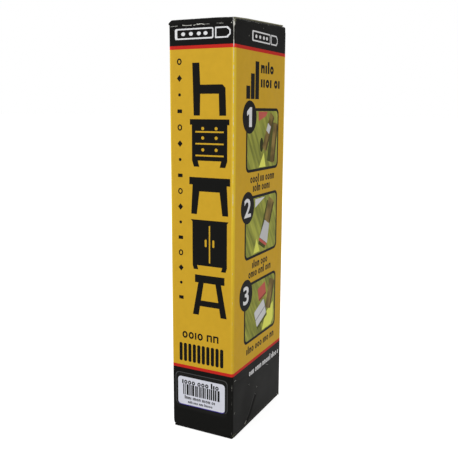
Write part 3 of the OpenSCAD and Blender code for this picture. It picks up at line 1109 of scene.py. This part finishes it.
# What the pictures show on their boards, about their middles. Each row has a layer, an ink, its share of
# light or None for a halftone, and shapes with their place and turn
VIEWS = (
    (  # a stick held over a gouge, with a second stick lying behind it
        (3, "rose", 1, ([[(-5.5, 12.9), (-5, 8.6), (3.2, 10.8), (5, 12.9)]],)),
        (3.2, "meadow", 0.12, (oval(-1.6, -2.4, 1.9, 3.3),)),
        (3, "straw", 1.5, ([[(-4.4, -12.9), (1, -6.2), (3.4, -12.9)]],)),
        (3, "meadow", 0.3, (box_shape(-5.2, -9.5, 0.4, 9.5), 12, -2, -12)),
        (
            3.5, "tan", None, (soft_box(-2.6, -9.4, 2.6, 9.4, 0.9), 6.2, 3.3, -30),
            (soft_box(-2.6, -9.6, 2.6, 9.6, 0.9), 13, -2, -12),
        ),
        (4, "white", 0.8, (box_shape(-2.6, -0.5, 2.6, 3.5), 6.2, 3.3, -30)),
        (
            4.5, "tan", 0.4, (box_shape(1.2, -8.6, 2.6, 8.6), 6.2, 3.3, -30),
            (box_shape(1.2, -8.8, 2.6, 8.8), 13, -2, -12),
        ),
    ),
    (  # a broad scraper, its handle to the upper right, shaving a red curl, and a rule behind it
        (3, "white", 0.9, ([[(-7.5, 12.9), (-7.6, 8.9), (3.5, 12.9)]],)),
        (3, "meadow", 0.25, (box_shape(-4.2, -11.5, 4.2, 11), 5.2, -0.6, -26)),
        (3.5, "tan", None, (soft_box(-3.6, 0.5, 3.6, 12.5, 1.2), 6.2, -0.2, -26)),
        (3.5, "white", 0.75, ([[(-3, 0.5), (3, 0.5), (5, -9), (-5, -9)]], 6.2, -0.2, -26)),
        (4, "rose", 1, (soft_box(-5.4, -10.6, 4.6, -9.2, 0.6), 6.2, -0.2, -26)),
        (4, "tan", 0.35, (box_shape(2.2, 1.2, 3.6, 11.8), 6.2, -0.2, -26)),
        (3, "straw", 1.4, ([[(-9, -12.9), (-5.5, -6), (-2, -12.9)]],)),
    ),
    (  # a folded white cloth on the board, a red rubber block and the end of a wooden one
        (3, "rose", 1, (box_shape(-4.4, -3.4, 4.4, 3.4), 1.6, 7.2, 14)),
        (3.3, "rose", 0.5, (box_shape(-4.4, -3.4, 4.4, -2.4), 1.6, 7.2, 14)),
        (3, "straw", 1.5, ([[(2, -12.9), (6.2, -5), (15.6, -1.2), (15.6, -10), (13, -12.9)]],)),
        (3.2, "meadow", 0.35, (box_shape(-6.2, -4.6, 6.2, 4.6), 0.6, -4.4, 22)),
        (3.6, "white", 0.85, (soft_box(-6, -4, 6, 4.8, 0.8), 0, -3.6, 22)),
        (3.9, "white", 0.4, (box_shape(-6, -0.3, 6, 0.4), 0, -3.6, 22)),
        (4.2, "tan", None, (soft_box(-3.4, -7, 3.4, 8, 0.8), 11.2, 3.4, -20)),
        (4.4, "tan", 0.4, (box_shape(2, -6.4, 3.4, 7.4), 11.2, 3.4, -20)),
    ),
)


def side_panel_print(panel):
    """The print of the two wide panels: three steps, each with a number, a picture and a caption."""
    blacks, whites, grounds, marks, pieces = [], [], [], [], []
    for i in range(3):
        blacks += box_shape(-16.6 + i * 4.7, 155.6, -12.6 + i * 4.7, 161.3 + i * 5.5)
    blacks += lettering(-1.2, 17.5, 167.4, 172.8, 12, 0.4, 0.84)
    blacks += lettering(-1.2, 23.5, 161, 166.4, 13, 0.4, 0.84)
    for step, ((left, low, right, high), badge, rows) in enumerate(PICTURES):
        rim = PICTURE_FRAME_W
        blacks += soft_box(left, low, right, high, PICTURE_R)
        grounds += soft_box(left + rim, low + rim, right - rim, high - rim, 2.1)
        marks += oval(*badge)
        whites += moved(digit("123"[step], 8.8), *badge[:2])
        for row, (a, b) in enumerate(rows):
            head = low - (1.1 if len(rows) > 1 else 1.6) - row * CAPTION_PITCH
            blacks += lettering(a, b, head - CAPTION_H, head, 3 * step + row + 2, 0.42)
        for layer, ink, light, *drawn in VIEWS[step]:
            lines = [line for shape in drawn for line in moved(*shape)]
            made = film(ink, light) if light else halftone(ink)
            pieces.append(stamp(moved(lines, (left + right) / 2, (low + high) / 2), made, panel, layer))
    dashes = lettering(-10.7, 26.6, 23.6, 26.7, 14, 0.44)
    return pieces + [
        stamp(blacks, film("black"), panel, 1),
        stamp(grounds, picture_ground(), panel, 2),
        stamp(marks, film("black"), panel, 2.5),
        stamp(whites, film("white"), panel, 3),
        stamp(dashes + stick_sign(-11, 17.6, 183.1, 4.6), film("white"), panel, 1),
    ]


# Scratches of two panels: the seed of the first, and each one's line and width. Those of the front run
# along its two creases, and those of the right panel lie at its two ends
SCRATCHES = {
    "front": (0, (
        (((-9.3, 187.9), (-6.8, 187.6), (-4.3, 187.7)), 0.3),
        (((-3.7, 187.5), (-2.6, 187.7), (-2.2, 188.1)), 0.3),
        (((-2.1, 187.9), (0.2, 187.95), (2, 187.7)), 0.5), (((2.2, 187.8), (4.6, 187.75)), 0.16),
        (((7.6, 187.9), (11.1, 187.7)), 0.16), (((-15.2, 187.5), (-11.2, 187.7)), 0.16),
        (((14.5, 187.6), (15, 187.9)), 0.5),
    )),
    "right": (20, (
        (((-26.9, 28.3), (-24.6, 28.6)), 0.1), (((-10.7, 20.4), (-10.2, 21)), 0.22),
        (((-1.8, 16.3), (-1.2, 15.8)), 0.22), (((-3.3, 13), (-2.9, 12.6)), 0.22),
        (((-13.2, 3.3), (-14.1, 2.5), (-15.2, 2.1)), 0.4), (((-14.6, 183.6), (-14.1, 184.1)), 0.5),
        (((0.6, 188.3), (1.3, 188.5)), 0.3), (((-26.6, 12), (-26.2, 13)), 0.35),
        (((9, 24), (13, 22.6)), 0.12),
    )),
}


def scratch(points, width, seed):
    """A sliver along a line of points: thin, ragged and pointed, as a scratch is."""
    chance = random.Random(seed)
    line = []
    for (x, y), (u, v) in zip(points, points[1:]):
        steps = max(2, round(math.hypot(u - x, v - y) / 0.3))
        line += [(x + (u - x) * i / steps, y + (v - y) * i / steps) for i in range(steps)]
    upper, lower = (
        [(x, y + side * width * chance.uniform(0.1, 0.6)) for x, y in line[1:]] for side in (1, -1)
    )
    return [line[0], *lower, points[-1], *reversed(upper)]


def build_label():
    """The sticker: a clear film with a pale rim, a pale panel and plain bars for its code and words."""
    s = sizes()
    low, high = box_of("barcode_label")
    left, foot, right, top = low.x, low.z, high.x, high.z
    thick = s.face_depth + (FRONT_Y - low.y)
    film_t, line_t, panel_t, ink_t = thick - 0.045, thick - 0.035, thick - 0.024, thick - 0.004
    rim, rim_w = soft_box(left, foot + 2, right, top, s.label_r), s.label_rim
    rim += soft_box(left + rim_w, foot + 2, right - rim_w, top - rim_w, s.label_r)
    panel = (left + 1.4, foot + 2.3, right - 1.4, top - 2.1)
    line = (panel[0], panel[1] - 0.4, panel[2], panel[3] - 2)
    chance = random.Random(4)
    blocks = lettering(panel[0] + 2.2, panel[2] - 2, panel[3] - 3.5, panel[3] - 0.7, 15, 0.42, 0.68)
    at = panel[0] + 2.8
    while at < panel[2] - 3.6:
        wide = chance.choice((0.4, 0.55, 0.8, 1.1))
        blocks += box_shape(at, foot + 7.3, at + wide, top - 5.7)
        at += wide + chance.choice((0.3, 0.4, 0.55))
    blocks += lettering(panel[0] + 3.6, panel[2] - 4.4, foot + 5.2, foot + 7, 16)
    blocks += lettering(panel[0] + 5.4, panel[2] - 5.6, foot + 3.2, foot + 4.6, 17, 0.4)
    sticker = join([
        relief(soft_box(left, foot, right, top, s.label_r), clear_label_film(), "front", 0, film_t),
        relief(rim, film("rim"), "front", film_t, line_t),
        relief(soft_box(*line, 1.6), film("label_line"), "front", film_t, line_t),
        relief(soft_box(*panel, 1.6), film("label"), "front", film_t, panel_t),
        relief(blocks, film("black", 1.5), "front", panel_t, ink_t),
    ])
    lift(sticker, s.label_lift)
    finish_piece(sticker, "sticker", "carton", "label_paper", "barcode_label")


class CARTON_OT_print(bpy.types.Operator):
    """Prints the four panels, scratches the front and the right one and sticks the label on"""
    bl_idname = "carton.print"
    bl_label = "Print and sticker"

    def execute(self, context):
        for panel in ("front", "back", "right", "left"):
            pieces = (end_panel_print if panel in ("front", "back") else side_panel_print)(panel)
            for piece in pieces:
                lift(piece, sizes().print_lift)
            if panel in SCRATCHES:
                seed, lines = SCRATCHES[panel]
                marks = [scratch(line, width, seed + i) for i, (line, width) in enumerate(lines)]
                pieces.append(stamp(marks, bared_fibres(), panel, 1.2))
            finish_piece(join(pieces), f"{panel}_panel_print", "carton", "printed_board")
        build_label()
        return {"FINISHED"}


# The sticks and the seam inside. Each stick and band is turned by this angle from the one before it
STICK_TURN = math.radians(67)


def size_of(name):
    """Radius and length of an upright round CAD node, in millimetres."""
    low, high = box_of(name)
    return (high.x - low.x) / 2, high.z - low.z


def build_stick():
    """One wax stick on the floor's middle: bevelled ends, and a dish where the wax sank as it set."""
    s = sizes()
    radius, length = size_of(STICKS[0])
    bowl, rings = radius - s.dish_rim, 5

    def sink():
        bpy.ops.mesh.inset(thickness=(s.dish_rim - s.bevel) * MM)
        depth = 0
        for ring in range(1, rings):
            bpy.ops.mesh.inset(thickness=bowl / rings * MM)
            deeper = s.dish_depth * (1 - (1 - ring / rings) ** 2)
            bpy.ops.transform.translate(value=(0, 0, (depth - deeper) * MM))
            depth = deeper

    stick = start(
        bpy.ops.mesh.primitive_cylinder_add, vertices=48, radius=radius * MM, depth=length * MM,
        location=(0, 0, length / 2 * MM),
    )
    edit(stick, "edges", lambda middle, way: abs(way.z) < 0.01,
         bpy.ops.mesh.bevel, offset=s.bevel * MM, segments=3, profile=0.5, affect="EDGES")
    edit(stick, "faces", lambda middle, facing: facing.z > 0.99 and middle.z > length - 0.1, sink)
    order_materials(stick, [poured_wax()])
    shade(stick)
    return stick


def tube(radius, length, bands):
    """An open paper tube, cut round at the heights of its printed bands."""
    made = start(
        bpy.ops.mesh.primitive_cylinder_add, vertices=64, radius=radius * MM, depth=length * MM,
        end_fill_type="NOTHING", location=(0, 0, length / 2 * MM),
    )
    for z in bands:
        cut(made, (0, 0, z), (0, 0, 1))
    return made


def build_wrapper():
    """One paper band: a tube with two printed rings, and the glued strip where its ends overlap."""
    radius, length = size_of(WRAPPERS[0])
    bands = (3, 9, 10.5, length - 6, length - 3)
    band = tube(radius - 0.04, length, bands)
    modify(band, "SOLIDIFY", thickness=0.09 * MM, offset=-1)
    strip = tube(radius, length, bands)
    remove(strip, lambda middle, facing: middle.y < radius * 0.9)
    modify(strip, "SOLIDIFY", thickness=0.035 * MM, offset=-1)
    band = join([band, strip])
    order_materials(band, [wrapper_paper(), film("yellow"), film("black")])
    for face in band.data.polygons:
        z = face.center.z / MM
        outside = math.hypot(face.center.x, face.center.y) / MM > radius - 0.08
        yellow, black = bands[0] < z < bands[1], bands[1] < z < bands[2] or bands[3] < z < bands[4]
        face.material_index = (1 if yellow else 2 if black else 0) if outside else 0
    shade(band)
    return band


class CARTON_OT_sticks(bpy.types.Operator):
    """Casts one wax stick and rolls its paper band, and stands ten of each in the carton"""
    bl_idname = "carton.sticks"
    bl_label = "Wax sticks and bands"

    def execute(self, context):
        kinds = ((build_stick(), STICKS, "wax"), (build_wrapper(), WRAPPERS, "wrapper_paper"))
        for pattern, nodes, slot in kinds:
            for i, name in enumerate(nodes):
                low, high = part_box(name)
                take(pattern)
                bpy.ops.object.duplicate()
                middle = Vector(((low.x + high.x) / 2, (low.y + high.y) / 2, low.z))
                turn = Matrix.Rotation(STICK_TURN * i, 4, "Z")
                place(context.object, Matrix.Translation(middle) @ turn)
                finish_piece(context.object, f"{name}_finished", "carton", slot, name)
            take(pattern)
            bpy.ops.object.delete()
        return {"FINISHED"}


class CARTON_OT_seam(bpy.types.Operator):
    """Finishes the seam flap inside the back left corner, which stays the frame's own solid"""
    bl_idname = "carton.seam"
    bl_label = "Seam flap"

    def execute(self, context):
        order_materials(frame["nodes"]["glue_flap"], [liner_board()])
        return {"FINISHED"}


# Camera, light and floor

PHOTO_SIDE = 458
PHOTO_FOCUS = 646.7
SENSOR_MM = 36
CAMERA_AT = (141.37, -278.58, 151.61)
CAMERA_YAW = 27.03
CAMERA_PITCH = -10.37
CAMERA_ROLL = -0.25
# Each lamp's name, place in metres, power in watts, width in metres and colour, and what all look at
LAMPS = (
    ("key_lamp", (-0.55, -1, 0.75), 9.3, 0.9, (1, 1, 1)),
    ("fill_lamp", (1.2, -0.5, 0.6), 5, 1, (1, 0.94, 0.88)),
    ("back_lamp", (-0.7, 1.2, 0.7), 6, 1, (1, 1, 1)),
)
LIT_SPOT = Vector((0, 0, 0.1))


def fresh_tree(owner):
    owner.use_nodes = True
    owner.node_tree.nodes.clear()
    return owner.node_tree


def seen_by(tree, *rays):
    """1 for rays of these kinds and 0 for the rest."""
    path = node(tree, "ShaderNodeLightPath", {})
    seen = path.outputs[f"Is {rays[0]} Ray"]
    for ray in rays[1:]:
        seen = maths(tree, "MAXIMUM", seen, path.outputs[f"Is {ray} Ray"])
    return seen


class CARTON_OT_stage(bpy.types.Operator):
    """Sets the camera, the lamps, the white surroundings and the floor"""
    bl_idname = "carton.stage"
    bl_label = "Stage"

    def execute(self, context):
        scene = context.scene
        scene.view_settings.view_transform = "Standard"
        bpy.ops.object.camera_add(
            location=[c * MM for c in CAMERA_AT],
            rotation=[math.radians(turn) for turn in (90 + CAMERA_PITCH, CAMERA_ROLL, CAMERA_YAW)],
        )
        camera = context.object
        camera.name = "photo_camera"
        camera.data.sensor_width = SENSOR_MM
        camera.data.lens = SENSOR_MM * PHOTO_FOCUS / PHOTO_SIDE
        camera.data.clip_start = 0.01
        camera.data.clip_end = 20
        scene.camera = camera
        for name, at, power, wide, tint in LAMPS:
            bpy.ops.object.light_add(type="AREA", location=at)
            lamp = context.object
            lamp.name = name
            lamp.data.energy = power
            lamp.data.size = wide
            lamp.data.color = tint
            lamp.rotation_euler = (LIT_SPOT - Vector(at)).to_track_quat("-Z", "Y").to_euler()
        self.surround(scene)
        self.floor()
        return {"FINISHED"}

    def surround(self, scene):
        """White all round to the eye, and dimmer as light, so that the lamps shape the carton."""
        scene.world = scene.world or bpy.data.worlds.new("studio")
        tree = fresh_tree(scene.world)
        strength = ramp(tree, seen_by(tree, "Camera", "Transmission"), 0, 1, 0.6, 1)
        sky = node(tree, "ShaderNodeBackground", {"Color": (1, 1, 1, 1), "Strength": strength})
        node(tree, "ShaderNodeOutputWorld", {"Surface": sky.outputs[0]})

    def floor(self):
        """A paper sweep that is pure white to the eye and in a sheen, and throws back little light."""
        floor = start(bpy.ops.mesh.primitive_plane_add, size=30, location=(0, 0, -0.0002))
        floor.name = "studio_floor"
        made = bpy.data.materials.new("white_paper_sweep")
        tree = fresh_tree(made)
        seen = seen_by(tree, "Camera", "Glossy", "Transmission")
        glow = node(tree, "ShaderNodeEmission", {"Strength": maths(tree, "MULTIPLY", seen, 0.78)})
        paper = node(tree, "ShaderNodeBsdfDiffuse", {"Color": (0.5, 0.5, 0.5, 1)})
        both = node(tree, "ShaderNodeAddShader", {0: glow.outputs[0], 1: paper.outputs[0]})
        node(tree, "ShaderNodeOutputMaterial", {"Surface": both.outputs[0]})
        floor.data.materials.append(made)


class CARTON_PT_panel(bpy.types.Panel):
    """Lists the carton's pieces in the order in which they are made"""
    bl_idname = "CARTON_PT_panel"
    bl_label = "Carton"
    bl_space_type = "VIEW_3D"
    bl_region_type = "UI"
    bl_category = "Carton"

    def draw(self, context):
        for step in STEPS:
            self.layout.operator(step.bl_idname)
        for group in (context.scene.carton_sizes, context.scene.carton_colours):
            for key in group.__annotations__:
                self.layout.prop(group, key, text=key.replace("_", " ").capitalize())


STEPS = (
    CARTON_OT_stage, CARTON_OT_sleeve, CARTON_OT_closures, CARTON_OT_print, CARTON_OT_sticks, CARTON_OT_seam,
)
CLASSES = (CartonSizes, CartonColours, *STEPS, CARTON_PT_panel)


def register():
    for each in CLASSES:
        bpy.utils.register_class(each)
    bpy.types.Scene.carton_sizes = bpy.props.PointerProperty(type=CartonSizes)
    bpy.types.Scene.carton_colours = bpy.props.PointerProperty(type=CartonColours)


def unregister():
    del bpy.types.Scene.carton_colours
    del bpy.types.Scene.carton_sizes
    for each in reversed(CLASSES):
        bpy.utils.unregister_class(each)


def main():
    register()
    bpy.ops.carton.stage()
    bpy.ops.carton.sleeve()
    bpy.ops.carton.closures()
    bpy.ops.carton.print()
    bpy.ops.carton.sticks()
    bpy.ops.carton.seam()


if __name__ == "__main__":
    main()
